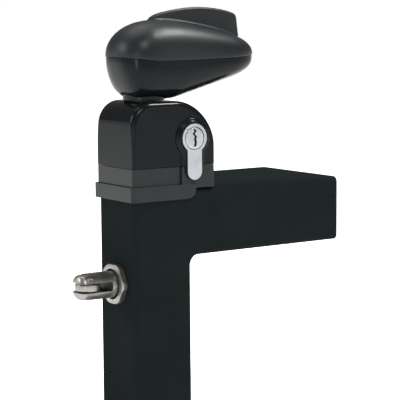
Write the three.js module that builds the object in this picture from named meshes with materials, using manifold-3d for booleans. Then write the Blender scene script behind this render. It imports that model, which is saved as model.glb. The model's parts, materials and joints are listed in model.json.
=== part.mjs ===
// Corner of a black square-tube barrier frame with a top-mounted twist-handle
// lock and a side roller bolt.  Millimetres, +Z up.  Origin: centre of the
// post's cut lower end.  +X runs along the rail, -Y is the front (cylinder) side.
import * as THREE from 'three';
import { mergeVertices } from 'three/addons/utils/BufferGeometryUtils.js';
import Module from 'manifold-3d';

const wasm = await Module();
wasm.setup();
const { Manifold, Mesh: MMesh } = wasm;

// ---------------------------------------------------------------- sizes
const ZR = 135;            // height of the rail's top face above the post's lower end
const TUBE = 40;           // square tube width of the post
const WALL = 2;            // tube wall
const TUBE_R = 3.5;        // tube outer corner radius
const POST_TOP = ZR + 2;   // the post's top end, inside the collar socket
const RAIL_DEPTH = 80;     // rail section, front to back
const RAIL_H = 40;         // rail section, height
const RAIL_END = 130;      // rail's free end
const GAP = 0.3;           // clearance between neighbouring pieces
const COLLAR_TOP = ZR + 13.5;
const SKIRT_LOW = ZR - 5.5;
const STEP = ZR + 3.2;     // top of the stepped-out skirt
const HOUSE_LOW = ZR + 13.8;
const HOUSE_TOP = ZR + 51.3;
const HOUSE_X0 = -20.5, HOUSE_X1 = 36.5, HOUSE_Y = 20.5;
const CYL_X = 20.5, CYL_Z = ZR + 30, CYL_R = 8.5, CYL_LEG = 5, CYL_LOW = ZR + 5.5;
const CYL_Y0 = -23, CYL_Y1 = 17;
const BOLT_Z = ZR - 55, BOLT_R = 8, BOLT_TIP = -48;
const CRANK_R = 13.4;      // crank radius; the bolt moves 2*CRANK_R*sin45 = 18.95
const CRANK_XY = CRANK_R * Math.SQRT1_2;
const ROLLER_X = -40;
const PIN_X = 9.3, PIN_Y = 7;   // lock bar pin position
const SCREWS = [38, 63];          // the two screws under the handle
const RECESS = [ZR + 63, ZR + 69.4];
const SEG = 28;

// ---------------------------------------------------------------- helpers
const toM = (geo) => {
  let g = geo.index ? geo.toNonIndexed() : geo.clone();
  g.deleteAttribute('normal'); g.deleteAttribute('uv');
  g = mergeVertices(g, 1e-4);
  const idx = g.index.array, out = [];
  for (let i = 0; i < idx.length; i += 3) {
    const a = idx[i], b = idx[i + 1], c = idx[i + 2];
    if (a !== b && b !== c && a !== c) out.push(a, b, c);
  }
  return new Manifold(new MMesh({
    numProp: 3,
    vertProperties: new Float32Array(g.attributes.position.array),
    triVerts: new Uint32Array(out),
  }));
};
const toGeo = (m) => {
  const mesh = m.getMesh();
  const g = new THREE.BufferGeometry();
  g.setAttribute('position', new THREE.BufferAttribute(new Float32Array(mesh.vertProperties), 3));
  g.setIndex(new THREE.BufferAttribute(new Uint32Array(mesh.triVerts), 1));
  const n = g.toNonIndexed();
  n.computeVertexNormals();
  return n;
};
const box = (x0, x1, y0, y1, z0, z1) => {
  const g = new THREE.BoxGeometry(x1 - x0, y1 - y0, z1 - z0);
  g.translate((x0 + x1) / 2, (y0 + y1) / 2, (z0 + z1) / 2);
  return toM(g);
};
// solid of revolution about the Z axis; profile is [radius, height] pairs from
// the lower end on the axis to the upper end on the axis
const lathe = (pts, seg = SEG) =>
  toM(new THREE.LatheGeometry(pts.map(([r, z]) => new THREE.Vector2(r, z)), seg).rotateX(Math.PI / 2));
const rod = (r, z0, z1, seg = SEG) => lathe([[0, z0], [r, z0], [r, z1], [0, z1]], seg);
const move = (m, x, y, z) => m.translate([x, y, z]);
const alongX = (m) => m.rotate([0, 90, 0]);      // +Z becomes +X
const alongY = (m) => m.rotate([-90, 0, 0]);     // +Z becomes +Y
const cylX = (r, x0, x1, y, z, seg = SEG) => move(alongX(rod(r, x0, x1, seg)), 0, y, z);
const cylY = (r, y0, y1, x, z, seg = SEG) => move(alongY(rod(r, y0, y1, seg)), x, 0, z);
const cylZ = (r, z0, z1, x, y, seg = SEG) => move(rod(r, z0, z1, seg), x, y, 0);
const sub = (a, ...bs) => bs.reduce((m, b) => m.subtract(b), a);
const add = (a, ...bs) => bs.reduce((m, b) => m.add(b), a);
const roundRect = (x0, x1, y0, y1, r) => {
  const s = new THREE.Shape();
  s.moveTo(x0 + r, y0); s.lineTo(x1 - r, y0);
  s.absarc(x1 - r, y0 + r, r, -Math.PI / 2, 0);
  s.lineTo(x1, y1 - r); s.absarc(x1 - r, y1 - r, r, 0, Math.PI / 2);
  s.lineTo(x0 + r, y1); s.absarc(x0 + r, y1 - r, r, Math.PI / 2, Math.PI);
  s.lineTo(x0, y0 + r); s.absarc(x0 + r, y0 + r, r, Math.PI, Math.PI * 1.5);
  return s;
};
const slab = (shape, z0, z1, cs = 5) => {
  const g = new THREE.ExtrudeGeometry(shape, { depth: z1 - z0, bevelEnabled: false, curveSegments: cs });
  g.translate(0, 0, z0);
  return toM(g);
};
const rrZ = (x0, x1, y0, y1, r, z0, z1) => slab(roundRect(x0, x1, y0, y1, r), z0, z1);
// extrusion of an (X, Z) outline along Y
const slabY = (shape, y0, y1, cs = 10) => move(slab(shape, -y1, -y0, cs).rotate([90, 0, 0]), 0, 0, 0);

const mats = {
  coat: [0x1c2021, 0.55, 0.1], cast: [0x2b2f30, 0.38, 0.5], plastic: [0x131516, 0.3, 0.0],
  grain: [0x1d1f21, 0.6, 0.0], nickel: [0xb9bab8, 0.25, 1.0], plug: [0xc2c2be, 0.28, 1.0],
  steel: [0x8d8a84, 0.35, 1.0], stainless: [0x9a958c, 0.3, 1.0], zinc: [0x8f9396, 0.4, 1.0],
  bronze: [0x8a6a3c, 0.45, 0.9], dark: [0x2c2d2e, 0.5, 0.8],
};
const group = new THREE.Group();
const put = (name, m, mat) => {
  const [color, roughness, metalness] = mats[mat];
  const mesh = new THREE.Mesh(toGeo(m), new THREE.MeshStandardMaterial({ color, roughness, metalness }));
  mesh.name = name;
  group.add(mesh);
};
// screw along +Z from z=0 (underside of head) down to -len, head height hh above
const screw = (r, len, hr, hh) => {
  const body = lathe([[0, -len], [r - 0.5, -len], [r, -len + 0.5], [r, 0], [hr, 0], [hr, hh * 0.55], [hr * 0.8, hh], [0, hh]], 18);
  return sub(body, rod(hr * 0.42, hh * 0.45, hh + 1, 6));
};

// ---------------------------------------------------------------- frame tubes
const H = TUBE / 2;
let post = sub(rrZ(-H, H, -H, H, TUBE_R, 0, POST_TOP),
  rrZ(-H + WALL, H - WALL, -H + WALL, H - WALL, 1.8, -1, POST_TOP + 1));
post = sub(post, cylX(10.25, -H - 1, -H + WALL + 1, 0, BOLT_Z));
for (const x of [-10, 10]) post = sub(post, cylY(2.7, H - WALL - 1, H + 1, x, ZR - 32, 14));
for (const x of [-11, 11]) post = sub(post, cylY(2.3, H - WALL - 1, H + 1, x, ZR - 1.2, 14));
put('post_tube', post, 'coat');

const RY0 = -H, RY1 = -H + RAIL_DEPTH;
const ringX = (x0, x1) => {
  const prof = (inset, r) => roundRect(-(ZR) + inset, -(ZR - RAIL_H) - inset, RY0 + inset, RY1 - inset, r);
  return sub(slab(prof(0, TUBE_R), x0, x1), slab(prof(WALL, 1.8), x0 - 1, x1 + 1)).rotate([0, 90, 0]);
};
put('rail_tube', ringX(H + GAP, RAIL_END), 'coat');
put('rail_end_plate', slab(roundRect(-ZR + WALL + GAP, -ZR + RAIL_H - WALL - GAP, RY0 + WALL + GAP, RY1 - WALL - GAP, 2.2),
  H + GAP + 0.4, H + GAP + 2.9).rotate([0, 90, 0]), 'coat');
// concave weld fillet in the inner corner of post and rail
{
  const f = 6, x = H + 0.15, z = ZR - RAIL_H - 0.15;
  put('corner_weld', sub(box(x, x + f, -H + 3.6, H - 3.6, z - f, z),
    cylY(f, -H, H, x + f + 0.35, z - f - 0.35, 40)), 'coat');
}

// ---------------------------------------------------------------- cylinder outline
const euro = (o, dx = 0) => {
  const r = CYL_R + o, w = CYL_LEG + o, a = Math.asin(w / r), low = CYL_LOW - CYL_Z - o;
  const s = new THREE.Shape();
  s.absarc(0, 0, r, -Math.PI / 2 + a, Math.PI * 1.5 - a, false);
  s.lineTo(-w, low + w);
  s.absarc(0, low + w, w, Math.PI, Math.PI * 2, false);
  s.closePath();
  return s;
};
const euroY = (o, y0, y1, cs = 14) => move(slabY(euro(o), y0, y1, cs), CYL_X, 0, CYL_Z);

// ---------------------------------------------------------------- collar
let collar = add(
  rrZ(HOUSE_X0, HOUSE_X1, -HOUSE_Y, HOUSE_Y, 1.8, ZR + 0.35, COLLAR_TOP),
  rrZ(-22, 22, -22, 22, 2.4, SKIRT_LOW, STEP),
  box(12, 22, -22, -19, ZR, COLLAR_TOP));
collar = sub(collar,
  box(-H - GAP, H + GAP, -H - GAP, H + GAP, SKIRT_LOW - 1, POST_TOP + GAP),
  box(H - 1, 60, -H - GAP, 60, SKIRT_LOW - 1, ZR + 0.35),
  box(-17.7, 17.7, -17.7, 17.7, POST_TOP, ZR + 8),
  cylZ(9, ZR, COLLAR_TOP + 1, 0, 0),
  euroY(0.35, -30, CYL_Y1 + 0.4),
  move(euroY(2.3, -30, -21.0), 0.5, 0, 0));
{
  // rounded lower right corner of the skirt's front strip
  const r = 6, c = sub(box(22 - r, 23, -23, -H, SKIRT_LOW - 1, SKIRT_LOW + r),
    cylY(r, -24, -H + 1, 22 - r, SKIRT_LOW + r, 32));
  collar = sub(collar, c);
}
collar = sub(collar, cylX(2.7, 20, 40, 7, ZR + 9.3, 16), cylX(5, 33.6, 40, 7, ZR + 9.3, 20));
for (const y of [-12.6, 12.6]) collar = sub(collar, cylZ(2.2, ZR, COLLAR_TOP + 1, -12.6, y, 14));
for (const x of [-11, 11]) collar = sub(collar, cylY(2.3, 19, 24, x, ZR - 1.2, 14));
put('collar', collar, 'cast');

// ---------------------------------------------------------------- lock housing
{
  const s = new THREE.Shape();
  const r1 = 13.5, r2 = 27;
  s.moveTo(HOUSE_X0, HOUSE_LOW); s.lineTo(HOUSE_X1, HOUSE_LOW);
  s.lineTo(HOUSE_X1, HOUSE_TOP - r2);
  s.absarc(HOUSE_X1 - r2, HOUSE_TOP - r2, r2, 0, Math.PI / 2, false);
  s.lineTo(HOUSE_X0 + r1, HOUSE_TOP);
  s.absarc(HOUSE_X0 + r1, HOUSE_TOP - r1, r1, Math.PI / 2, Math.PI, false);
  s.closePath();
  let h = slabY(s, -HOUSE_Y, HOUSE_Y, 9);
  // small rounds on the upright edges, large ones front and back on top
  h = h.intersect(rrZ(HOUSE_X0, HOUSE_X1, -HOUSE_Y, HOUSE_Y, 2.2, HOUSE_LOW - 1, HOUSE_TOP + 1));
  const tp = roundRect(-HOUSE_Y, HOUSE_Y, HOUSE_LOW - 20, HOUSE_TOP, 5.5);
  h = h.intersect(slab(tp, HOUSE_X0 - 1, HOUSE_X1 + 1, 6).rotate([90, 0, 0]).rotate([0, 0, 90]));
  // stepped rim around the cylinder opening
  h = add(h, euroY(3.1, -21.5, -18).intersect(box(0, 50, -30, 0, HOUSE_LOW, HOUSE_TOP)),
    euroY(1.6, -22.5, -18).intersect(box(0, 50, -30, 0, HOUSE_LOW, HOUSE_TOP)));
  // inner space, leaving two corner columns for the screws
  let cav = box(-17.2, 11.9, -17.2, 17.2, HOUSE_LOW - 1, ZR + 46.8);
  for (const y of [-1, 1]) cav = sub(cav, box(-18, -8.3, Math.min(y * 8.3, y * 18), Math.max(y * 8.3, y * 18), HOUSE_LOW - 2, ZR + 35.3));
  h = sub(h, cav, box(0, 15.9, -16, 16, ZR + 39.9, ZR + 46.8), euroY(0.35, -30, CYL_Y1 + 0.4),
    box(11.5, 26, 1.7, 12.3, HOUSE_LOW - 1, ZR + 39),
    cylZ(9.5, ZR + 46, HOUSE_TOP + 1, 0, 0));
  for (const y of [-12.6, 12.6]) h = sub(h, cylZ(2.2, HOUSE_LOW - 1, ZR + 27, -12.6, y, 14));
  for (const x of [-9, 5]) h = sub(h, cylY(1.7, 16, 22, x, ZR + 37.7, 14), cylY(3.6, 19.2, 24, x, ZR + 37.7, 18));
  put('lock_housing', h, 'plastic');
}
for (const [i, y] of [[1, -12.6], [2, 12.6]]) {
  // heads below the collar's flange, shanks up into the housing columns
  put(`housing_screw_${i}`, move(screw(2, 17.5, 3.8, 2.8).rotate([180, 0, 0]), -12.6, y, ZR + 7.7), 'zinc');
}
for (const [i, x] of [[1, -11], [2, 11]]) {
  put(`collar_screw_${i}`, move(screw(2, 6.5, 3.4, 1.8).rotate([-90, 0, 0]), x, 22.2, ZR - 1.2), 'zinc');
}
for (const [i, x] of [[1, -9], [2, 5]]) {
  put(`plate_screw_${i}`, move(screw(1.4, 8.5, 3.2, 1.3).rotate([-90, 0, 0]), x, 19.5, ZR + 37.7), 'zinc');
}

// ---------------------------------------------------------------- upper bearing plate
{
  let p = box(-16.9, 11.6, -16.9, 16.9, ZR + 35.6, ZR + 39.8);
  p = sub(p, cylZ(6.3, ZR + 30, ZR + 45, 0, 0), cylZ(2.85, ZR + 30, ZR + 45, PIN_X, PIN_Y, 16),
    cylZ(1.6, ZR + 36.2, ZR + 45, -10.5, 0, 14));
  for (const x of [-9, 5]) p = sub(p, cylY(1.6, 10, 18, x, ZR + 37.7, 14));
  put('bearing_plate', p, 'zinc');
}
put('detent_ball', move(toM(new THREE.SphereGeometry(1.3, 12, 8)), -10.5, 0, ZR + 38.75), 'steel');
{
  // small compression spring under the ball
  const pts = [];
  for (let i = 0; i <= 18; i++) { const a = i / 18 * Math.PI * 2 * 2; pts.push(new THREE.Vector3(Math.cos(a) * 1.1, Math.sin(a) * 1.1, i / 18 * 0.6)); }
  const sec = new THREE.Shape(); sec.absarc(0, 0, 0.11, 0, Math.PI * 2);
  const c = new THREE.CatmullRomCurve3(pts);
  const g = new THREE.ExtrudeGeometry(sec, { steps: 26, extrudePath: c, curveSegments: 2, bevelEnabled: false });
  put('detent_spring', move(toM(g), -10.5, 0, ZR + 36.45), 'steel');
}
put('upper_bush', sub(rod(9.2, ZR + 47, HOUSE_TOP + 0.3), cylZ(6.25, ZR + 40, ZR + 58, 0, 0)), 'bronze');

// ---------------------------------------------------------------- euro cylinder
{
  let b = euroY(0, CYL_Y0, CYL_Y1, 16);
  b = sub(b, cylY(6.7, CYL_Y0 - 1, 2, CYL_X, CYL_Z, 32),
    box(CYL_X - 12, CYL_X + 12, 2, 12, ZR + 14, ZR + 50),
    cylX(2.5, 0, 40, 7, ZR + 9.3, 16));
  put('cylinder_body', b, 'nickel');

  let p = add(cylY(6.5, CYL_Y0 - 0.2, 1.8, CYL_X, CYL_Z, 32), cylY(3.6, 1.5, 11.6, CYL_X, CYL_Z, 18));
  const k = new THREE.Shape();   // wavy keyway
  const L = [[-0.5, 5.2], [0.6, 4.2], [-0.7, 2.6], [0.7, 0.9], [0.1, -0.6], [0.5, -2.4], [0.3, -4.6]];
  k.moveTo(L[0][0] - 0.55, L[0][1]);
  for (const [x, z] of L) k.lineTo(x + 0.55, z);
  for (const [x, z] of [...L].reverse()) k.lineTo(x - 0.55, z);
  k.closePath();
  p = sub(p, move(slabY(k, CYL_Y0 - 2, -3), CYL_X, 0, CYL_Z));
  put('cylinder_plug', p, 'plug');

  let cam = add(cylY(8.1, 2.3, 11.7, CYL_X, CYL_Z, 28),
    box(CYL_X - 2.2, CYL_X + 2.2, 2.3, 11.7, CYL_Z - 14.6, CYL_Z));
  cam = sub(cam, cylY(3.85, 0, 14, CYL_X, CYL_Z, 20));
  put('cylinder_cam', cam, 'steel');
  put('cylinder_fixing_screw', move(screw(2.2, 17, 4.4, 2.2).rotate([0, 90, 0]), 33.9, 7, ZR + 9.3), 'zinc');
}
// ---------------------------------------------------------------- lock bar
put('lock_bar', add(sub(box(5.2, 11.5, 3.4, 10.6, ZR + 27.4, ZR + 29.7), cylZ(6.4, ZR, ZR + 60, 0, 0)),
  cylZ(2.5, ZR + 28, ZR + 39.6, PIN_X, PIN_Y, 18)), 'steel');

// ---------------------------------------------------------------- spindle group
{
  let s = lathe([[0, ZR - 41], [4, ZR - 41], [4, ZR - 36], [6, ZR - 36], [6, ZR + 68.5], [0, ZR + 68.5]]);
  s = sub(s, cylX(1.2, -10, 10, 0, ZR + 44.9, 12), cylY(1.7, -10, 10, 0, ZR - 38.9, 12),
    cylZ(2.2, ZR + 56, ZR + 80, 0, 0, 14));
  put('spindle', s, 'steel');
  const r = Math.hypot(PIN_X, PIN_Y), a0 = Math.atan2(PIN_Y, PIN_X);
  let d = add(cylZ(15.3, ZR + 40.2, ZR + 43.4, 0, 0, 40), cylZ(8.6, ZR + 43, ZR + 46.4, 0, 0));
  d = sub(d, cylZ(6.2, ZR + 38, ZR + 52, 0, 0), cylX(1.2, -10, 10, 0, ZR + 44.9, 12));
  for (const a of [a0, a0 + Math.PI / 2]) d = sub(d, cylZ(2.95, ZR + 38, ZR + 48, r * Math.cos(a), r * Math.sin(a), 20));
  put('lock_disc', d, 'steel');
  put('disc_pin', cylX(1.0, -8.3, 8.3, 0, ZR + 44.9, 12), 'steel');
  let c = add(cylZ(8.5, ZR - 41.4, ZR - 36.4, 0, 0), cylZ(3.6, ZR - 41.4, ZR - 36.4, -CRANK_XY, CRANK_XY, 20),
    move(box(-3.6, 3.6, 0, CRANK_R, -2.5, 2.5).rotate([0, 0, 45]), 0, 0, ZR - 38.9));
  c = sub(c, cylZ(4.2, ZR - 48, ZR - 30, 0, 0), cylZ(2.7, ZR - 48, ZR - 30, -CRANK_XY, CRANK_XY, 16),
    cylY(1.7, -10, 10, 0, ZR - 38.9, 12));
  put('crank', c, 'zinc');
  put('crank_pin', cylZ(2.5, ZR - 46.6, ZR - 36.6, -CRANK_XY, CRANK_XY, 18), 'steel');
  put('crank_cross_pin', cylY(1.5, -8, 8, 0, ZR - 38.9, 12), 'steel');
}
// guide block for the spindle's lower end, inside the post
{
  let g = sub(rrZ(-17.6, 17.6, -17.6, 17.6, 1.6, ZR - 36, ZR - 28), cylZ(6.3, ZR - 40, ZR - 20, 0, 0));
  for (const x of [-10, 10]) g = sub(g, cylY(2.5, 8, 20, x, ZR - 32, 14));
  put('guide_block', g, 'zinc');
  for (const [i, x] of [[1, -10], [2, 10]])
    put(`guide_screw_${i}`, move(screw(2.3, 10, 4.5, 2.4).rotate([-90, 0, 0]), x, H + GAP, ZR - 32), 'zinc');
}
// ---------------------------------------------------------------- roller bolt
{
  let b = alongX(lathe([[0, BOLT_TIP], [3.2, BOLT_TIP], [5.6, BOLT_TIP + 1.2], [7.2, BOLT_TIP + 3.2], [8, BOLT_TIP + 6], [8, -3.4], [7.2, -2.6], [0, -2.6]], 32));
  b = move(b, 0, 0, BOLT_Z);
  b = sub(b, box(BOLT_TIP - 1, -25.6, -10, 10, BOLT_Z - 2.9, BOLT_Z + 2.9),
    cylZ(2.2, BOLT_Z - 10, BOLT_Z + 10, ROLLER_X, 0, 16),
    box(-14.2, 0, -10, 10, ZR - 49.3, ZR - 43));
  for (const y of [-3.4, 2.6]) b = sub(b, cylZ(1.6, ZR - 55, ZR - 48, -CRANK_XY, y, 12));
  put('bolt', b, 'stainless');
  put('bolt_roller', sub(cylZ(7.5, BOLT_Z - 2.3, BOLT_Z + 2.3, ROLLER_X, 0, 32), cylZ(2.3, BOLT_Z - 5, BOLT_Z + 5, ROLLER_X, 0, 16)), 'stainless');
  put('roller_pin', cylZ(2, BOLT_Z - 7.2, BOLT_Z + 7.2, ROLLER_X, 0, 16), 'steel');
  let y = add(box(-14.1, -4.8, -6, 17, ZR - 46.4, ZR - 42.4), box(-14.1, -4.8, -6, 5.6, ZR - 49.1, ZR - 46));
  y = sub(y, box(-CRANK_XY - 3.1, -CRANK_XY + 3.1, 6.6, 20, ZR - 53, ZR - 38));
  for (const q of [-3.4, 2.6]) y = sub(y, cylZ(1.7, ZR - 53, ZR - 38, -CRANK_XY, q, 12), cylZ(2.9, ZR - 43.9, ZR - 38, -CRANK_XY, q, 16));
  put('bolt_yoke', y, 'zinc');
  for (const [i, q] of [[1, -3.4], [2, 2.6]])
    put(`yoke_screw_${i}`, cylZ(1.4, ZR - 54, ZR - 44, -CRANK_XY, q, 12).add(cylZ(2.6, ZR - 43.7, ZR - 42.6, -CRANK_XY, q, 16)).add(cylZ(1.4, ZR - 44.1, ZR - 43, -CRANK_XY, q, 12)), 'steel');
}
{
  // hexagon flange with chamfered face, corners pointing front and back
  const hexR = 13.3;
  let f = cylX(hexR, -24, -H - 0.2, 0, BOLT_Z, 6);
  f = f.intersect(move(alongX(lathe([[0, -24], [11.4, -24], [12.4, -23.1], [12.4, -20], [0, -20]], 48)), 0, 0, BOLT_Z));
  f = add(f, cylX(9.95, -21, -14.5, 0, BOLT_Z));
  f = sub(f, cylX(8.25, -30, -10, 0, BOLT_Z));
  put('guide_bush', f, 'stainless');
  put('bush_nut', sub(cylX(13, -17.7, -14.9, 0, BOLT_Z, 6), cylX(10.2, -20, -10, 0, BOLT_Z)), 'steel');
}
// ---------------------------------------------------------------- handle
// stations along X: x, half width, lower z, seam z, crown z
const ST = [
  [-20.48, 3.5, 75.3, 77.8, 80.4],
  [-19.88, 8.2, 72.4, 77.7, 83.2],
  [-18.38, 12.4, 67.4, 77.4, 86.8],
  [-15.74, 16.1, 60.8, 77, 90.5],
  [-12.48, 18.8, 55.5, 76.6, 93.4],
  [-8.07, 20.7, 53, 76.1, 95.9],
  [-1.46, 21.8, 52.5, 75.6, 98],
  [5.59, 22, 52.4, 75.4, 98.9],
  [14, 22, 52.5, 75.4, 98.9],
  [24, 21.7, 54.7, 75.5, 98],
  [33.7, 21.2, 57.3, 75.7, 96.5],
  [44.8, 20.2, 60.3, 76, 94.4],
  [55.9, 18.6, 63.3, 76.4, 91.7],
  [63.76, 16, 65.8, 76.9, 88.9],
  [69.12, 12.8, 68.4, 77.3, 86.2],
  [72.54, 8.8, 71.2, 77.5, 83],
  [74.25, 4.2, 74.8, 77.6, 80],
];
const loft = (rows) => {
  const n = rows[0].length, v = [], t = [];
  for (const r of rows) for (const p of r) v.push(...p);
  const c0 = v.length / 3; v.push(...rows[0].reduce((a, p) => [a[0] + p[0] / n, a[1] + p[1] / n, a[2] + p[2] / n], [0, 0, 0]));
  const last = rows[rows.length - 1];
  const c1 = v.length / 3; v.push(...last.reduce((a, p) => [a[0] + p[0] / n, a[1] + p[1] / n, a[2] + p[2] / n], [0, 0, 0]));
  for (let i = 0; i + 1 < rows.length; i++) for (let j = 0; j < n; j++) {
    const a = i * n + j, b = i * n + (j + 1) % n, c = a + n, d = b + n;
    t.push(a, b, d, a, d, c);
  }
  for (let j = 0; j < n; j++) { const k = (j + 1) % n; t.push(c0, k, j); t.push(c1, (rows.length - 1) * n + j, (rows.length - 1) * n + k); }
  let m = new Manifold(new MMesh({ numProp: 3, vertProperties: new Float32Array(v), triVerts: new Uint32Array(t) }));
  return m;
};
const dome = (o) => loft(ST.map(([x, w, zl, zs, zc]) => {       // upper shell, o = inset
  const row = [], W = Math.max(w - o, 1), Hh = Math.max(zc - zs - o, 0.8);
  for (let j = 0; j <= 12; j++) { const a = Math.PI * j / 12; row.push([x, W * Math.sign(Math.cos(a)) * Math.abs(Math.cos(a)) ** 0.92, ZR + zs + 0.15 + Hh * Math.sin(a) ** 0.85]); }
  return row;
}));
const bowl = (o) => loft(ST.map(([x, w, zl, zs]) => {            // lower shell
  const row = [], W = Math.max(w - 0.5 - o, 1), D = Math.max(zs - zl - o, 0.8);
  for (let j = 0; j <= 12; j++) { const a = Math.PI * j / 12; row.push([x, -W * Math.sign(Math.cos(a)) * Math.abs(Math.cos(a)) ** 0.8, ZR + zs - 0.15 - D * Math.sin(a) ** 0.62]); }
  return row;
}));
{
  const inner = box(-16.8, 67, -60, 60, 0, 400);
  let up = sub(dome(0), move(dome(2.2), 0, 0, -0.5).intersect(inner));
  // the long fin along the crown
  const fs = new THREE.Shape();
  const FIN = [[2.5, 96], [3.4, 99.0], [5.5, 101.0], [9, 102.4], [18, 104.3], [30, 105.9], [39.5, 106.3], [51, 105.5], [60, 103.9], [65, 102.3], [66.6, 100.2], [67.2, 97], [68.2, 84]];
  fs.moveTo(...FIN[0]); for (const p of FIN.slice(1)) fs.lineTo(...p); fs.closePath();
  let fin = move(slabY(fs, -1.8, 1.8), 0, 0, ZR);
  const hollow = move(dome(2.2), 0, 0, -0.5).intersect(inner);
  fin = sub(fin, hollow);
  up = add(up, fin);
  for (const x of SCREWS) up = sub(add(up, cylZ(4, ZR + 76.6, ZR + 95, x, 0, 18).intersect(dome(0.5))), cylZ(2.3, ZR + 70, ZR + 84, x, 0, 14));
  put('handle_upper_shell', up, 'grain');
  let low = sub(bowl(0), move(bowl(2.2), 0, 0, 0.5).intersect(inner));
  for (const [i, x] of SCREWS.entries()) {
    low = add(low, cylZ(6.2, ZR + 55, ZR + 75, x, 0, 20).intersect(bowl(0)));
    low = sub(low, cylZ(2.4, ZR + 50, ZR + 80, x, 0, 14), cylZ(4.3, ZR + 50, RECESS[i] + 0.2, x, 0, 18));
  }
  low = sub(low, cylZ(12.8, ZR + 45, ZR + 58, 0, 0, 32));
  put('handle_lower_shell', low, 'plastic');
  let hub = lathe([[0, ZR + 51.9], [12.4, ZR + 51.9], [12.4, ZR + 57], [10, ZR + 57.3], [10, ZR + 72], [0, ZR + 72]]);
  hub = sub(hub, cylZ(6.2, ZR + 50, ZR + 68.8, 0, 0), cylZ(2.6, ZR + 66, ZR + 80, 0, 0, 14));
  put('handle_hub', hub, 'cast');
  put('handle_centre_screw', move(screw(2.0, 12, 4.6, 3), 0, 0, ZR + 72.3), 'zinc');
  put('handle_screw_1', move(screw(2.0, 19, 3.7, 2.4).rotate([180, 0, 0]), SCREWS[0], 0, RECESS[0]), 'zinc');
  put('handle_screw_2', move(screw(2.0, 12.5, 3.7, 2.2).rotate([180, 0, 0]), SCREWS[1], 0, RECESS[1]), 'zinc');
}

export default group;
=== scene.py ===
import json
import math
import bmesh
import bpy
import numpy as np
from mathutils import Matrix, Vector


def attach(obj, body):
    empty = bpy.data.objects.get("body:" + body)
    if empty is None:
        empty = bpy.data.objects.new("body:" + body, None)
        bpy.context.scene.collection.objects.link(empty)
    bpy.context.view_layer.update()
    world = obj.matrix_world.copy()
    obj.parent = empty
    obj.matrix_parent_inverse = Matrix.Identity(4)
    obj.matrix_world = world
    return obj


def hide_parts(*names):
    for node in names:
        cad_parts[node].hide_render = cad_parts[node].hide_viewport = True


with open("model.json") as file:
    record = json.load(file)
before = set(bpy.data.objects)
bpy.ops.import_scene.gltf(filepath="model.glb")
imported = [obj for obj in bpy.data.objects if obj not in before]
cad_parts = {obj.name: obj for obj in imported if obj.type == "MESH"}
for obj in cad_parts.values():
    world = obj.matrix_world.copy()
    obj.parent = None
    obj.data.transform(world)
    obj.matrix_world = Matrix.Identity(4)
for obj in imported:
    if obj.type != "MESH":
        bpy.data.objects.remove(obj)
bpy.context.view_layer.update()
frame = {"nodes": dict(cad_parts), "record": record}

nodes = frame["nodes"]
ZR = 135.0          # rail top above the origin, mm
K = 0.001           # mm to m


# ------------------------------------------------------------------ materials
def new_mat(name, color, rough, metal=0.0, spec=0.5, coat=0.0, coat_rough=0.1, aniso=0.0):
    m = bpy.data.materials.new(name)
    m.use_nodes = True
    nt = m.node_tree
    b = nt.nodes["Principled BSDF"]
    b.inputs["Base Color"].default_value = (*color, 1)
    b.inputs["Roughness"].default_value = rough
    b.inputs["Metallic"].default_value = metal
    b.inputs["Specular IOR Level"].default_value = spec
    b.inputs["Coat Weight"].default_value = coat
    b.inputs["Coat Roughness"].default_value = coat_rough
    b.inputs["Anisotropic"].default_value = aniso
    return m, nt, b


def coords(nt, scale=(1, 1, 1)):
    tc = nt.nodes.new("ShaderNodeTexCoord")
    mp = nt.nodes.new("ShaderNodeMapping")
    mp.inputs["Scale"].default_value = scale
    nt.links.new(tc.outputs["Object"], mp.inputs["Vector"])
    return mp.outputs["Vector"]


def noise(nt, vec, scale, detail=3.0, rough=0.5):
    n = nt.nodes.new("ShaderNodeTexNoise")
    n.inputs["Scale"].default_value = scale
    n.inputs["Detail"].default_value = detail
    n.inputs["Roughness"].default_value = rough
    nt.links.new(vec, n.inputs["Vector"])
    return n.outputs["Fac"]


def ramp(nt, fac, lo, hi, p0=0.3, p1=0.7):
    r = nt.nodes.new("ShaderNodeMapRange")
    r.inputs["From Min"].default_value = p0
    r.inputs["From Max"].default_value = p1
    r.inputs["To Min"].default_value = lo
    r.inputs["To Max"].default_value = hi
    nt.links.new(fac, r.inputs["Value"])
    return r.outputs["Result"]


def mixc(nt, fac, a, b):
    m = nt.nodes.new("ShaderNodeMix")
    m.data_type = "RGBA"
    nt.links.new(fac, m.inputs[0])
    m.inputs[6].default_value = (*a, 1)
    m.inputs[7].default_value = (*b, 1)
    return m.outputs[2]


def bump(nt, b, height, strength, dist):
    n = nt.nodes.new("ShaderNodeBump")
    n.inputs["Strength"].default_value = strength
    n.inputs["Distance"].default_value = dist
    nt.links.new(height, n.inputs["Height"])
    nt.links.new(n.outputs["Normal"], b.inputs["Normal"])


def painted(name, c0, c1, r0, r1, spec, grain, gstr, gdist, coat=0.0, coat_rough=0.2):
    m, nt, b = new_mat(name, c0, r0, 0.0, spec, coat, coat_rough)
    v = coords(nt)
    big = noise(nt, v, 38.0, 4.0, 0.6)
    fine = noise(nt, v, grain, 2.0, 0.5)
    nt.links.new(mixc(nt, ramp(nt, big, 0, 1), c0, c1), b.inputs["Base Color"])
    nt.links.new(ramp(nt, big, r0, r1), b.inputs["Roughness"])
    bump(nt, b, fine, gstr, gdist)
    return m


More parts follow.
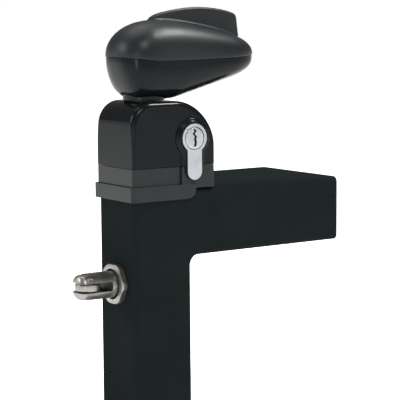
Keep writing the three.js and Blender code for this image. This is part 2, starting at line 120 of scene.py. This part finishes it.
def metal(name, c0, c1, r0, r1, stretch, scale, bstr, bdist):
    m, nt, b = new_mat(name, c0, r0, 1.0, 0.5)
    lines = noise(nt, coords(nt, stretch), scale, 3.0, 0.6)
    stain = noise(nt, coords(nt), 160.0, 4.0, 0.6)
    nt.links.new(mixc(nt, ramp(nt, stain, 0, 1, 0.35, 0.7), c0, c1), b.inputs["Base Color"])
    nt.links.new(ramp(nt, lines, r0, r1), b.inputs["Roughness"])
    bump(nt, b, lines, bstr, bdist)
    return m


M = {
    # slot_dark is painted shade: a near-black wall colour laid on the root of the bolt's slot and on the bore gap of
    # the bush, standing in for the shadow inside them
    "slot_dark": painted("painted_shade_slot_wall", (0.012, 0.015, 0.016), (0.022, 0.025, 0.026), 0.45, 0.6, 0.15, 900.0, 0.05, 0.00003),
    "powder_coat": painted("powder_coat_black", (0.0062, 0.0082, 0.0086), (0.0084, 0.0108, 0.0112), 0.70, 0.80, 0.010, 1400.0, 0.20, 0.00006),
    "cast_black": painted("cast_black_paint", (0.0085, 0.0105, 0.0110), (0.0125, 0.0145, 0.0150), 0.20, 0.28, 0.16, 1900.0, 0.14, 0.00005),
    "black_plastic": painted("black_moulding", (0.0032, 0.0041, 0.0047), (0.0046, 0.0055, 0.0061), 0.15, 0.21, 0.10, 700.0, 0.025, 0.00004),
    "grained_plastic": painted("grained_black_moulding", (0.0055, 0.0070, 0.0078), (0.0085, 0.0102, 0.0110), 0.36, 0.46, 0.22, 2300.0, 0.40, 0.00008),
    "nickel": metal("satin_nickel", (0.36, 0.365, 0.385), (0.30, 0.305, 0.325), 0.28, 0.40, (1, 1, 7), 900.0, 0.05, 0.00002),
    "steel": metal("ground_steel", (0.50, 0.485, 0.46), (0.40, 0.385, 0.36), 0.24, 0.38, (1, 1, 6), 900.0, 0.08, 0.00002),
    "stainless": metal("turned_stainless", (0.27, 0.262, 0.242), (0.20, 0.193, 0.178), 0.32, 0.44, (9, 0.6, 0.6), 420.0, 0.06, 0.00002),
    "zinc": metal("zinc_plate", (0.30, 0.31, 0.33), (0.23, 0.245, 0.265), 0.32, 0.46, (1, 1, 1), 700.0, 0.08, 0.00002),
    "bronze": metal("bearing_bronze", (0.42, 0.28, 0.12), (0.34, 0.21, 0.09), 0.35, 0.5, (1, 1, 1), 800.0, 0.10, 0.00002),
}

slot_of = {s["node"]: s["material_slot"] for s in frame["record"]["subparts"]}
for n, o in nodes.items():
    o.data.materials.clear()
    o.data.materials.append(M[slot_of[n]])
    w = o.modifiers.new("weld", "WELD")
    w.merge_threshold = 0.000002
    bv = o.modifiers.new("edges", "BEVEL")
    bv.width = 0.00018
    bv.segments = 2
    bv.limit_method = "ANGLE"
    bv.angle_limit = math.radians(38)
    bv.harden_normals = False


# ------------------------------------------------------------------ mesh tools
def obj_from(name, verts, faces):
    me = bpy.data.meshes.new(name)
    me.from_pydata([tuple(np.array(v, float) * K) for v in verts], [], [tuple(f) for f in faces])
    bm = bmesh.new()
    bm.from_mesh(me)
    bmesh.ops.remove_doubles(bm, verts=bm.verts, dist=1e-7)
    bmesh.ops.recalc_face_normals(bm, faces=bm.faces)
    bm.to_mesh(me)
    bm.free()
    o = bpy.data.objects.new(name, me)
    bpy.context.scene.collection.objects.link(o)
    return o


def boolean(o, cutter, op="DIFFERENCE"):
    for c in cutter if isinstance(cutter, (list, tuple)) else [cutter]:
        md = o.modifiers.new("b", "BOOLEAN")
        md.operation = op
        md.solver = "EXACT"
        md.object = c
        dg = bpy.context.evaluated_depsgraph_get()
        me = bpy.data.meshes.new_from_object(o.evaluated_get(dg))
        o.modifiers.clear()
        old = o.data
        o.data = me
        bpy.data.meshes.remove(old)
        bpy.data.objects.remove(c)
    return o


def clean(o, bevel=None, seg=2, angle=32, sharp=38, dissolve=0.4):
    bm = bmesh.new()
    bm.from_mesh(o.data)
    bmesh.ops.remove_doubles(bm, verts=bm.verts, dist=2e-6)
    if dissolve:
        bmesh.ops.dissolve_limit(bm, angle_limit=math.radians(dissolve), verts=bm.verts, edges=bm.edges)
    if bevel:
        es = [e for e in bm.edges if len(e.link_faces) == 2 and e.calc_face_angle(0) > math.radians(angle)]
        bmesh.ops.bevel(bm, geom=es, offset=bevel * K, segments=seg, profile=0.5, affect="EDGES", clamp_overlap=True)
    bmesh.ops.remove_doubles(bm, verts=bm.verts, dist=1e-6)
    big = [f for f in bm.faces if len(f.verts) > 4]
    bmesh.ops.triangulate(bm, faces=big)
    bmesh.ops.recalc_face_normals(bm, faces=bm.faces)
    bm.to_mesh(o.data)
    bm.free()
    o.data.polygons.foreach_set("use_smooth", [True] * len(o.data.polygons))
    o.data.set_sharp_from_angle(angle=math.radians(sharp))
    o.data.update()
    return o


def done(o, slot, body, *replaced, flat=True, **kw):
    clean(o, **kw)
    o.data.materials.clear()
    o.data.materials.append(M[slot])
    if flat:
        wn = o.modifiers.new("flat_faces", "WEIGHTED_NORMAL")
        wn.keep_sharp = True
        wn.weight = 90
    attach(o, body)
    if replaced:
        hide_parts(*replaced)
    return o


def to3(p, q, t, axis):
    return {"Z": (p, q, t), "Y": (p, t, q), "X": (t, p, q)}[axis]


def prism(name, outline, a, b, axis="Z"):
    n = len(outline)
    v = [to3(p[0], p[1], t, axis) for t in (a, b) for p in outline]
    f = [list(range(n))[::-1], list(range(n, 2 * n))]
    f += [[i, (i + 1) % n, n + (i + 1) % n, n + i] for i in range(n)]
    return obj_from(name, v, f)


def lathe(name, prof, axis="Z", c=(0, 0), seg=64, hexagon=False):
    """closed solid of revolution; prof = (radius, along) from axis to axis"""
    rows, v, f = [], [], []
    for r, t in prof:
        if r < 1e-6:
            rows.append([len(v)])
            v.append(to3(c[0], c[1], t, axis))
        else:
            row = []
            for j in range(seg):
                a = 2 * math.pi * j / seg
                row.append(len(v))
                v.append(to3(c[0] + r * math.cos(a), c[1] + r * math.sin(a), t, axis))
            rows.append(row)
    for A, B in zip(rows, rows[1:]):
        for j in range(seg):
            k = (j + 1) % seg
            if len(A) == 1 and len(B) == 1:
                continue
            if len(A) == 1:
                f.append([A[0], B[j], B[k]])
            elif len(B) == 1:
                f.append([A[j], A[k], B[0]])
            else:
                f.append([A[j], A[k], B[k], B[j]])
    return obj_from(name, v, f)


def rod(name, r, a, b, axis="Z", c=(0, 0), seg=48):
    return lathe(name, [(0, a), (r, a), (r, b), (0, b)], axis, c, seg)


def box(name, x0, x1, y0, y1, z0, z1):
    return prism(name, [(x0, y0), (x1, y0), (x1, y1), (x0, y1)], z0, z1)


def arc(cx, cy, r, a0, a1, n):
    return [(cx + r * math.cos(math.radians(a0 + (a1 - a0) * i / n)), cy + r * math.sin(math.radians(a0 + (a1 - a0) * i / n))) for i in range(n + 1)]


def rrect(x0, x1, y0, y1, r, n=10):
    return (arc(x1 - r, y0 + r, r, -90, 0, n) + arc(x1 - r, y1 - r, r, 0, 90, n)
            + arc(x0 + r, y1 - r, r, 90, 180, n) + arc(x0 + r, y0 + r, r, 180, 270, n))


def miter(outline):
    """outward unit offsets of a closed counter-clockwise outline"""
    P = np.array(outline)
    d = np.roll(P, -1, 0) - P
    L = np.linalg.norm(d, axis=1, keepdims=True)
    L[L < 1e-9] = 1
    n = np.stack([d[:, 1], -d[:, 0]], 1) / L
    m = n + np.roll(n, 1, 0)
    k = 1 + (n * np.roll(n, 1, 0)).sum(1, keepdims=True)
    return m / np.maximum(k, 0.3)


def pillow(name, outline, radii, t0, t1, axis="Y", n=8, back=True, normals=None):
    """prism whose two end faces are rounded into its sides, by a radius of their own at each point"""
    P, R = np.array(outline, float), np.array(radii, float)
    N = miter(outline) if normals is None else np.array(normals, float)
    rows = []
    for i in range(n + 1):
        a = math.pi / 2 * (1 - i / n)
        q = P - N * (R * (1 - math.cos(a)))[:, None]
        rows.append([(p[0], p[1], t0 + r * (1 - math.sin(a))) for p, r in zip(q, R)])
    if back:
        for i in range(n + 1):
            a = math.pi / 2 * (i / n)
            q = P - N * (R * (1 - math.cos(a)))[:, None]
            rows.append([(p[0], p[1], t1 - r * (1 - math.sin(a))) for p, r in zip(q, R)])
    else:
        rows.append([(p[0], p[1], t1) for p in P])
    m = len(P)
    v = [to3(*p, axis) for r in rows for p in r]
    f = [list(range(m)), list(range(len(v) - m, len(v)))[::-1]]
    for i in range(len(rows) - 1):
        for j in range(m):
            k = (j + 1) % m
            f.append([i * m + j, i * m + k, (i + 1) * m + k, (i + 1) * m + j])
    return obj_from(name, v, f)


# ------------------------------------------------------------------ tubes
POST_TOP = ZR + 2


def tube(name, outer, inner, a, b, axis, open_a=True, open_b=True):
    o = prism(name, outer, a, b, axis)
    return boolean(o, prism("c", inner, a - 5 if open_a else a + 2, b + 5 if open_b else b - 2, axis))


post = tube("post_tube_body", rrect(-20, 20, -20, 20, 3.5, 12), rrect(-18, 18, -18, 18, 1.8, 8), 0, POST_TOP, "Z")
boolean(post, [rod("c", 10.25, -25, -15, "X", (0, ZR - 55))])
boolean(post, [rod("c", 2.7, 15, 25, "Y", (x, ZR - 32)) for x in (-10, 10)])
done(post, "powder_coat", "frame", "post_tube", bevel=0.28, seg=2)

rail = tube("rail_tube_body", rrect(-20, 60, ZR - 40, ZR, 3.5, 12), rrect(-18, 58, ZR - 38, ZR - 2, 1.8, 8), 20.3, 130, "X")
done(rail, "powder_coat", "frame", "rail_tube", bevel=None)
bm = bmesh.new()
bm.from_mesh(rail.data)
es = [e for e in bm.edges if all(abs(v.co.x - 0.130) < 1e-6 for v in e.verts)]
bmesh.ops.bevel(bm, geom=es, offset=0.0003, segments=2, profile=0.5, affect="EDGES", clamp_overlap=True)
bm.to_mesh(rail.data)
bm.free()
rail.data.polygons.foreach_set("use_smooth", [True] * len(rail.data.polygons))
rail.data.set_sharp_from_angle(angle=math.radians(38))

plate = prism("rail_end_closure", rrect(-18.1, 58.1, ZR - 38.1, ZR - 1.9, 1.9, 8), 20.7, 23.2, "X")
done(plate, "powder_coat", "frame", "rail_end_plate", dissolve=0, flat=False)

# ground weld: fillet in the inner corner and the flush seam in front
zb = ZR - 40
out = [(16.5, zb - 6), (20.0, zb - 6)] + arc(26.0, zb - 6.0, 6.0, 180, 90, 16)[1:] + [(26.0, zb + 3.5), (16.5, zb + 3.5)]
rad = [3.5] * len(out)
inw = [(0, 0), (1, 0)] + [(-math.cos(math.radians(a)), -math.sin(math.radians(a))) for a in np.linspace(180, 90, 17)[1:]] + [(0, 0), (0, 0)]
weld = pillow("corner_weld_bead", out, rad, -20.0, 20.0, "Y", 8, normals=inw)
seam = prism("corner_weld_seam", [(16.5, -20.0), (20.3, -20.0), (20.3, -16.6), (16.5, -16.6)], zb + 3.5, ZR - 3.5)
done(weld, "powder_coat", "frame", "corner_weld", dissolve=0)
done(seam, "powder_coat", "frame", dissolve=0)


# ------------------------------------------------------------------ euro outline
CX, CZ, CR, LEG, LOW = 20.5, ZR + 30, 8.5, 5.0, ZR + 5.5


def euro(o, n=48, cx=CX, low=None):
    r, w = CR + o, LEG + o
    a = math.degrees(math.asin(w / r))
    pts = arc(cx, CZ, r, -90 + a, 270 - a, n)
    lo = LOW - o
    if low is None:
        pts += arc(cx, lo + w, w, 180, 360, 20)
    else:
        pts += [(cx - w, low), (cx + w, low)]
    return pts


# ------------------------------------------------------------------ housing
X0, X1, HL, HT = -20.5, 36.5, ZR + 13.8, ZR + 51.9
out = [(X0, HL), (X1, HL)]
out += arc(X1 - 27, HT - 27, 27, 0, 90, 26)
out += arc(X0 + 13.5, HT - 13.5, 13.5, 90, 180, 18)
rad = []
for x, z in out:
    if z <= HL + 0.01:
        rad.append(0.5)
    else:
        t = min(max((z - (HT - 26)) / 22, 0), 1)
        t = t * t * (3 - 2 * t)
        rad.append(2.2 + 3.3 * t)
# extra points up the straight sides so that the edge radius changes smoothly


def edge_r(z):
    t = min(max((z - (HT - 26)) / 22, 0), 1)
    return 1.5 + 2.3 * t * t * (3 - 2 * t)


right = [(X1, HL + (HT - 27 - HL) * q) for q in (0, 0.25, 0.5, 0.75)]
top = arc(X1 - 27, HT - 27, 27, 0, 90, 26) + arc(X0 + 13.5, HT - 13.5, 13.5, 90, 180, 18)
left = [(X0, HT - 13.5 + (HL - HT + 13.5) * q) for q in (0.12, 0.3, 0.55, 0.8, 1.0)]
ex = right + top + left
er = [edge_r(z) for x, z in ex]
en = miter(ex)
en[0] = (1, 0)
en[-1] = (-1, 0)
house = pillow("lock_housing_shell", ex, er, -20.5, 20.5, "Y", 10, normals=en)
boolean(house, [
    box("c", -17.2, 11.9, -17.2, 17.2, HL - 1, ZR + 46.8),
    box("c", 0, 15.9, -16, 16, ZR + 39.9, ZR + 46.7),
    box("c", 11.5, 26, 1.7, 12.3, HL - 1, ZR + 39),
    rod("c", 9.4, ZR + 40, HT + 3),
    prism("c", euro(0.35), -30, 17.4, "Y"),
])
for x in (-9, 5):
    boolean(house, [rod("c", 3.6, 19.2, 25, "Y", (x, ZR + 37.7))])
done(house, "black_plastic", "frame", "lock_housing", bevel=0.22, angle=50, sharp=36)

prof = [(3.5, -20.3), (3.35, -20.62), (3.15, -21.1), (2.95, -21.42), (2.6, -21.6), (2.1, -21.66), (1.85, -21.74), (1.68, -21.95), (1.55, -22.25), (1.30, -22.52), (0.95, -22.62), (0.62, -22.6), (0.42, -22.45), (0.36, -22.2), (0.36, -20.3)]
rows = []
for o, y in prof:
    r, w = CR + o, LEG + o
    a = math.degrees(math.asin(w / r))
    zj = CZ - r * math.cos(math.asin(w / r))
    low = ZR + 13.95
    left = [(CX - w, low + (zj - low) * s) for s in (0, 0.33, 0.66)]
    right = [(CX + w, zj + (low - zj) * s) for s in (0.34, 0.67, 1)]
    top = arc(CX, CZ, r, 270 - a, -90 + a, 60)
    rows.append([(x, y, z) for x, z in left + top + right])
m = len(rows[0])
v = [p for r in rows for p in r]
f = []
for i in range(len(rows)):
    i2 = (i + 1) % len(rows)
    for j in range(m - 1):
        f.append([i * m + j, i * m + j + 1, i2 * m + j + 1, i2 * m + j])
f.append([i * m for i in range(len(rows))])
f.append([i * m + m - 1 for i in range(len(rows))][::-1])
rim = obj_from("housing_rim", v, f)
done(rim, "black_plastic", "frame", dissolve=0, sharp=50)

# ------------------------------------------------------------------ collar
collar = prism("collar_casting", rrect(X0, X1, -20.5, 20.5, 1.8, 8), ZR + 0.35, ZR + 13.5)
boolean(collar, prism("c", rrect(-22, 22, -22, 22, 2.4, 8), ZR - 5.5, ZR + 3.2), "UNION")
boolean(collar, box("c", 12, 22, -22, -15, ZR - 3, ZR + 13.5), "UNION")
cut = [
    prism("c", rrect(-20.3, 20.3, -20.3, 20.3, 3.2, 8), ZR - 8, ZR + 2.3),
    box("c", 19, 60, -20.3, 60, ZR - 8, ZR + 0.35),
    box("c", -17.7, 17.7, -17.7, 17.7, ZR + 1, ZR + 8),
    rod("c", 9, ZR, ZR + 20),
    prism("c", euro(0.35), -30, 17.4, "Y"),
    prism("c", euro(2.4, cx=CX + 0.4), -30, -20.95, "Y"),
    rod("c", 5.0, 33.6, 45, "X", (7, ZR + 9.3)),
]
boolean(collar, cut)
# round the lower right corner of the skirt's front strip
wedge = prism("c", [(30, ZR - 9), (30, ZR + 0.5)] + [(22.0, ZR + 0.5)] + arc(16, ZR + 0.5, 6, 0, -90, 16) + [(16, ZR - 9)], -30, -20.1, "Y")
boolean(collar, wedge)
done(collar, "cast_black", "frame", "collar", bevel=0.5, seg=3, angle=35, sharp=34)

# ------------------------------------------------------------------ cylinder
body = prism("cylinder_case", euro(0.0, 72), -23, 17, "Y")
boolean(body, [rod("c", 6.75, -30, 2, "Y", (CX, CZ), 72), box("c", 8, 33, 2, 12, ZR + 14, ZR + 50),
               rod("c", 2.5, 0, 45, "X", (7, ZR + 9.3))])
boolean(body, rod("c", 0.55, -24, -22.4, "Y", (CX - 4.9, CZ + 5.4), 20))
done(body, "nickel", "frame", "cylinder_body", bevel=0.3, seg=3, angle=40)
plug = lathe("cylinder_plug_core", [(0, -23.1), (5.9, -23.1), (6.35, -22.95), (6.5, -22.6), (6.5, 1.8), (3.6, 1.8), (3.6, 11.6), (0, 11.6)], "Y", (CX, CZ), 72)
L = [(-0.5, 5.3), (0.65, 4.2), (-0.75, 2.5), (0.8, 0.9), (0.1, -0.7), (0.7, -2.4), (0.2, -4.0), (0.35, -5.0)]
key = [(CX + x + 0.75, CZ + z) for x, z in L] + [(CX + x - 0.75, CZ + z) for x, z in L[::-1]]
boolean(plug, prism("c", key, -26, -3, "Y"))
done(plug, "nickel", "plug", "cylinder_plug", bevel=0.08, seg=2, angle=40)

# ------------------------------------------------------------------ roller bolt
BZ = ZR - 55
dome = [(0, -48), (3.6, -48)] + [(3.6 + 4.4 * math.sin(math.radians(a)), -48 + 4.4 * (1 - math.cos(math.radians(a)))) for a in (12, 24, 36, 48, 58, 68, 78)] + [(8, -43.6), (8, -3.4), (7.2, -2.6), (0, -2.6)]
bolt = lathe("roller_bolt", dome, "X", (0, BZ), 72)
boolean(bolt, [
    prism("c", rrect(-60, -27.4, BZ - 2.75, BZ + 2.75, 0.6, 4), -12, 12, "Y"),
    rod("c", 2.15, BZ - 12, BZ + 12, "Z", (-40, 0), 32),
    box("c", -14.2, 3, -12, 12, ZR - 49.3, ZR - 38),
])
# small flat across the front of each fork tip
for sg in (1, -1):
    w = prism("c", [(-52, BZ + sg * 6.9), (-42.5, BZ + sg * 6.9), (-39.8, BZ + sg * 9.0), (-52, BZ + sg * 9.0)][::sg], -12, 12, "Y")
    boolean(bolt, w)
done(bolt, "stainless", "bolt", "bolt", bevel=0.3, seg=3, angle=30, sharp=32)
# painted shade: the faces at the root of the slot between the forks get the near-black slot_dark colour, in place of
# the shadow deep in the slot
bolt.data.materials.append(M["slot_dark"])
for pf in bolt.data.polygons:
    c_ = pf.center / K
    if abs(c_[2] - BZ) < 2.9 and c_[0] > -33.0 and c_[0] < -27.0 and math.hypot(c_[1], c_[2] - BZ) < 7.9:
        pf.material_index = 1
roller = lathe("guide_roller", [(0, BZ - 2.3), (6.4, BZ - 2.3), (7.1, BZ - 2.05), (7.5, BZ - 1.5), (7.5, BZ + 1.5), (7.1, BZ + 2.05), (6.4, BZ + 2.3), (0, BZ + 2.3)], "Z", (-40, 0), 72)
boolean(roller, rod("c", 2.3, BZ - 5, BZ + 5, "Z", (-40, 0), 32))
done(roller, "stainless", "roller", "bolt_roller", sharp=42)
pin = lathe("roller_axle", [(0, BZ - 7.2), (1.5, BZ - 7.2), (2.0, BZ - 6.8), (2.0, BZ + 6.8), (1.5, BZ + 7.2), (0, BZ + 7.2)], "Z", (-40, 0), 40)
done(pin, "steel", "bolt", "roller_pin", sharp=42)

hexo = [(13.4 * math.cos(math.radians(a)), BZ + 13.4 * math.sin(math.radians(a))) for a in range(0, 360, 60)]
flange = prism("guide_bush_hex", hexo, -24, -20.2, "X")
cone = lathe("c", [(0, -24), (11.2, -24), (11.9, -23.75), (12.3, -23.2), (12.35, -22.6), (12.35, -15), (0, -15)], "X", (0, BZ), 96)
boolean(flange, cone, "INTERSECT")
boolean(flange, rod("c", 9.95, -21, -14.5, "X", (0, BZ), 64), "UNION")
boolean(flange, lathe("c", [(0, -30), (9.1, -30), (9.1, -20.8), (8.3, -20.8), (8.3, -10), (0, -10)], "X", (0, BZ), 72))
done(flange, "stainless", "frame", "guide_bush", bevel=0.22, seg=2, angle=30, sharp=34)
# painted shade: the bore faces of the bush around the bolt get the near-black slot_dark colour, in place of the shadow
# in the gap between bolt and bush
flange.data.materials.append(M["slot_dark"])
for pf in flange.data.polygons:
    c_ = pf.center / K
    if math.hypot(c_[1], c_[2] - BZ) < 9.15 and c_[0] > -23.5:
        pf.material_index = 1


# ------------------------------------------------------------------ handle
ST = np.array([
    [-24.6, 0.0, 76.8, 77.8, 78.4], [-24.5, 3.5, 75.3, 77.8, 80.4], [-23.9, 8.2, 72.4, 77.7, 83.2], [-22.2, 12.4, 67.4, 77.4, 86.8], [-19.2, 16.1, 60.8, 77.0, 90.5], [-15.5, 18.8, 55.5, 76.6, 93.4],
    [-10.5, 20.7, 53.0, 76.1, 95.9], [-3, 21.8, 52.5, 75.6, 98.0], [5, 22.0, 52.4, 75.4, 98.9], [14, 22.0, 52.5, 75.4, 98.9], [24, 21.7, 54.7, 75.5, 98.0],
    [34, 21.2, 57.3, 75.7, 96.5], [46, 20.2, 60.3, 76.0, 94.4], [58, 18.6, 63.3, 76.4, 91.7], [66.5, 16.0, 65.8, 76.9, 88.9],
    [72.3, 12.8, 68.4, 77.3, 86.2], [76.0, 8.8, 71.2, 77.5, 83.0], [77.6, 4.2, 74.8, 77.6, 80.0], [77.9, 0.0, 76.6, 77.6, 78.2]])
ST[:, 0] += 4.1 * np.clip((10 - ST[:, 0]) / 34.6, 0, 1) - 3.6 * np.clip((ST[:, 0] - 30) / 47.9, 0, 1)


def smooth_rows(A, n):
    d = np.linalg.norm(np.diff(A[:, [0, 1, 4]], axis=0), axis=1)
    t = np.concatenate([[0], np.cumsum(d)])
    h = np.diff(t)
    dl = np.diff(A, axis=0) / h[:, None]
    s = np.zeros_like(A)
    for i in range(1, len(A) - 1):
        a, b = dl[i - 1], dl[i]
        w1, w2 = 2 * h[i] + h[i - 1], h[i] + 2 * h[i - 1]
        with np.errstate(divide="ignore", invalid="ignore"):
            hm = (w1 + w2) / (w1 / a + w2 / b)
        s[i] = np.where(a * b > 0, np.nan_to_num(hm), 0.35 * (a + b) * 0.5)
    s[0], s[-1] = dl[0], dl[-1]
    q = np.linspace(0, t[-1], n)
    k = np.clip(np.searchsorted(t, q, side="right") - 1, 0, len(h) - 1)
    u = ((q - t[k]) / h[k])[:, None]
    H = h[k][:, None]
    return ((1 + 2 * u) * (1 - u) ** 2 * A[k] + u * (1 - u) ** 2 * H * s[k] + u * u * (3 - 2 * u) * A[k + 1] + u * u * (u - 1) * H * s[k + 1])


RW = smooth_rows(ST, 110)
RW[:, 1] = np.maximum(RW[:, 1], 0.05)


def closed_loft(name, rows):
    n = len(rows[0])
    v = [p for r in rows for p in r]
    f = [list(range(n))[::-1], list(range(len(v) - n, len(v)))]
    for i in range(len(rows) - 1):
        for j in range(n):
            k = (j + 1) % n
            f.append([i * n + j, i * n + k, (i + 1) * n + k, (i + 1) * n + j])
    return obj_from(name, v, f)


NA = 56
rows = []
for x, w, zl, zs, zc in RW:
    h = max(zc - zs, 0.2)
    row = []
    for j in range(NA + 1):
        a = math.pi * j / NA
        c, s = math.cos(a), math.sin(a)
        row.append((x, w * math.copysign(abs(c) ** 0.92, c), ZR + zs + 0.45 + (h - 0.45 if h > 0.6 else h * 0.3) * s ** 0.86))
    e = min(0.5, w * 0.4)
    row += [(x, -w + 0.12 * e, ZR + zs + 0.18), (x, -w + e, ZR + zs), (x, w - e, ZR + zs), (x, w - 0.12 * e, ZR + zs + 0.18)]
    rows.append(row)
upper = closed_loft("handle_top_shell", rows)
done(upper, "grained_plastic", "handle", "handle_upper_shell", dissolve=0, sharp=55, flat=False)

rows = []
for x, w, zl, zs, zc in RW:
    w2, d = max(w - 0.55, 0.04), max(zs - zl - 0.4, 0.2)
    row = []
    for j in range(NA + 1):
        a = math.pi * j / NA
        c, s = math.cos(a), math.sin(a)
        row.append((x * 1.0, -w2 * math.copysign(abs(c) ** 0.80, c), ZR + zs - 0.5 - (d - 0.1) * s ** 0.64))
    row += [(x, w2, ZR + zs - 0.3), (x, -w2, ZR + zs - 0.3)]
    rows.append(row)
lower = closed_loft("handle_bottom_shell", rows)
boolean(lower, [rod("c", 12.8, ZR + 40, ZR + 57.2, "Z", (0, 0), 72),
                rod("c", 4.3, ZR + 45, ZR + 63.2, "Z", (38, 0), 40), rod("c", 4.3, ZR + 45, ZR + 69.6, "Z", (63, 0), 40)])
done(lower, "black_plastic", "handle", "handle_lower_shell", dissolve=0, sharp=42, flat=False)

# the fin: a thin wall with a rounded edge that flares into the crown
FIN = np.array([[2.6, 97.6], [3.4, 99.0], [4.6, 100.3], [6.4, 101.4], [9, 102.4], [13, 103.4], [18, 104.3], [24, 105.2], [30, 105.9], [35, 106.2], [39.5, 106.3], [45, 106.05],
                [51, 105.5], [56, 104.75], [60, 103.9], [63, 103.0], [65, 102.2], [66.1, 101.2], [66.6, 100.0], [66.9, 98.4], [67.3, 95.0], [67.8, 91.0], [68.2, 88.6]])


def crown(x):
    return float(np.interp(x, RW[:, 0], RW[:, 4]))


rows = []
T = 1.75
tang = np.gradient(FIN, axis=0)
tang /= np.linalg.norm(tang, axis=1)[:, None]
nrm = np.stack([-tang[:, 1], tang[:, 0]], 1)
for p, n in zip(FIN, nrm):
    row = []
    for a in np.linspace(-90, 90, 13):        # bullnose edge
        q = p - n * (T * (1 - math.cos(math.radians(a))))
        row.append((q[0], T * math.sin(math.radians(a)), ZR + q[1]))
    rows.append(row)
# lower ring, inside the dome
n = len(rows[0])
verts = [q for r in rows for q in r]
faces = []
for i in range(len(rows) - 1):
    for j in range(n - 1):
        faces.append([i * n + j, i * n + j + 1, (i + 1) * n + j + 1, (i + 1) * n + j])
base = len(verts)
for side, j in ((-1, 0), (1, n - 1)):
    prev = [i * n + j for i in range(len(rows))]
    for dz, t in ((1.6, T), (0.85, T + 0.16), (0.35, T + 0.5), (0.0, T + 1.05), (-0.6, T + 1.6), (-5.0, T + 1.6)):
        cur = []
        for i, (p, nn) in enumerate(zip(FIN, nrm)):
            x = p[0] - nn[0] * T
            top = rows[i][j][2] - ZR
            z = min(crown(x) + dz, top - 0.02 * (2 - dz))
            cur.append(len(verts))
            verts.append((x, side * t, ZR + z))
        for i in range(len(rows) - 1):
            q = [prev[i], prev[i + 1], cur[i + 1], cur[i]]
            faces.append(q if side < 0 else q[::-1])
        prev = cur
    if side < 0:
        left = prev
    else:
        right = prev
for i in range(len(rows) - 1):
    faces.append([left[i], left[i + 1], right[i + 1], right[i]])
# close the two ends
def col(i):
    out_ = [i * n + j for j in range(n)]
    lv = [base + k * len(rows) + i for k in range(6)]
    rv = [base + (6 + k) * len(rows) + i for k in range(6)]
    return out_ + rv + lv[::-1]
faces.append(col(0))
faces.append(col(len(rows) - 1)[::-1])
fin = obj_from("handle_fin", verts, faces)
done(fin, "grained_plastic", "handle", dissolve=0, sharp=48, flat=False)

hub = lathe("handle_neck", [(0, ZR + 52.2), (12.0, ZR + 52.2), (12.4, ZR + 52.5), (12.4, ZR + 57), (10, ZR + 57.3), (10, ZR + 72), (0, ZR + 72)], "Z", (0, 0), 72)
boolean(hub, rod("c", 6.2, ZR + 45, ZR + 68.8))
done(hub, "cast_black", "handle", "handle_hub", sharp=42)


# ------------------------------------------------------------------ floor, light, camera
fl = bpy.data.meshes.new("floor")
zf = -0.0004
rings = [(0.5, zf), (1.5, zf), (4.0, zf), (9.0, zf), (13.0, 0.06), (16.0, 0.26), (18.5, 0.56), (20.5, 0.95), (23.5, 2.4)]
NS = 64
vs = [(0.0, 0.0, zf)]
for r_, z_ in rings:
    vs += [(r_ * math.cos(2 * math.pi * j / NS), r_ * math.sin(2 * math.pi * j / NS), z_) for j in range(NS)]
fs = [(0, 1 + j, 1 + (j + 1) % NS) for j in range(NS)]
for i in range(len(rings) - 1):
    for j in range(NS):
        k = (j + 1) % NS
        fs.append((1 + i * NS + j, 1 + (i + 1) * NS + j, 1 + (i + 1) * NS + k, 1 + i * NS + k))
fl.from_pydata(vs, [], fs)
fl.polygons.foreach_set("use_smooth", [True] * len(fl.polygons))
floor = bpy.data.objects.new("floor", fl)
bpy.context.scene.collection.objects.link(floor)
fm, nt, b = new_mat("studio_floor", (0.90, 0.90, 0.90), 0.8, 0.0, 0.0)
b.inputs["Emission Color"].default_value = (1, 1, 1, 1)
b.inputs["Emission Strength"].default_value = 0.80
fl.materials.append(fm)

world = bpy.data.worlds.new("studio")
bpy.context.scene.world = world
world.use_nodes = True
world.node_tree.nodes["Background"].inputs[0].default_value = (1, 1, 1, 1)
world.node_tree.nodes["Background"].inputs[1].default_value = 0.22


def light(name, loc, target, size, power, size_y=None, color=(1, 1, 1)):
    ld = bpy.data.lights.new(name, "AREA")
    ld.energy = power
    ld.color = color
    ld.shape = "RECTANGLE"
    ld.size = size
    ld.size_y = size_y or size
    o = bpy.data.objects.new(name, ld)
    bpy.context.scene.collection.objects.link(o)
    o.location = loc
    o.rotation_euler = (Vector(target) - Vector(loc)).to_track_quat("-Z", "Y").to_euler()
    return o


light("key", (-1.15, 0.75, 0.80), (0, 0, 0.18), 0.50, 10, 0.6)
light("top", (0.62, -0.25, 1.20), (0.02, 0, 0.2), 0.34, 17, 0.26)
light("edge", (-1.42, -1.00, 0.20), (0, 0, 0.14), 0.14, 5.0, 0.8)
light("front_top", (-0.35, -1.0, 1.25), (0.02, 0, 0.2), 0.55, 10, 0.4)
light("fill", (0.9, -1.6, 0.6), (0, 0, 0.12), 0.6, 2.6, 0.9)
light("back_wash", (0.2, 1.6, 3.4), (0.8, 1.6, 0.0), 3.0, 70, 3.0)

yaw, pitch, roll = 0.5962472557, 0.1223433304, -0.0075720432
cy, sy = math.cos(yaw), math.sin(yaw)
fwd = Vector((sy * math.cos(pitch), cy * math.cos(pitch), -math.sin(pitch)))
rgt = Vector((cy, -sy, 0.0))
upv = rgt.cross(fwd)
c, s = math.cos(roll), math.sin(roll)
r2 = c * rgt + s * upv
u2 = -s * rgt + c * upv
cd = bpy.data.cameras.new("camera")
cd.sensor_width = 36.0
cd.lens = 1537.2777 / 400.0 * 36.0
cd.clip_start = 0.01
cd.clip_end = 50
cam = bpy.data.objects.new("camera", cd)
bpy.context.scene.collection.objects.link(cam)
mw = Matrix.Identity(4)
for i in range(3):
    mw[i][0], mw[i][1], mw[i][2] = r2[i], u2[i], -fwd[i]
mw[0][3], mw[1][3], mw[2][3] = -0.48068379, -0.76645134, 0.10378544 + ZR * K
cam.matrix_world = mw
bpy.context.scene.camera = cam
bpy.context.scene.view_settings.view_transform = "Standard"
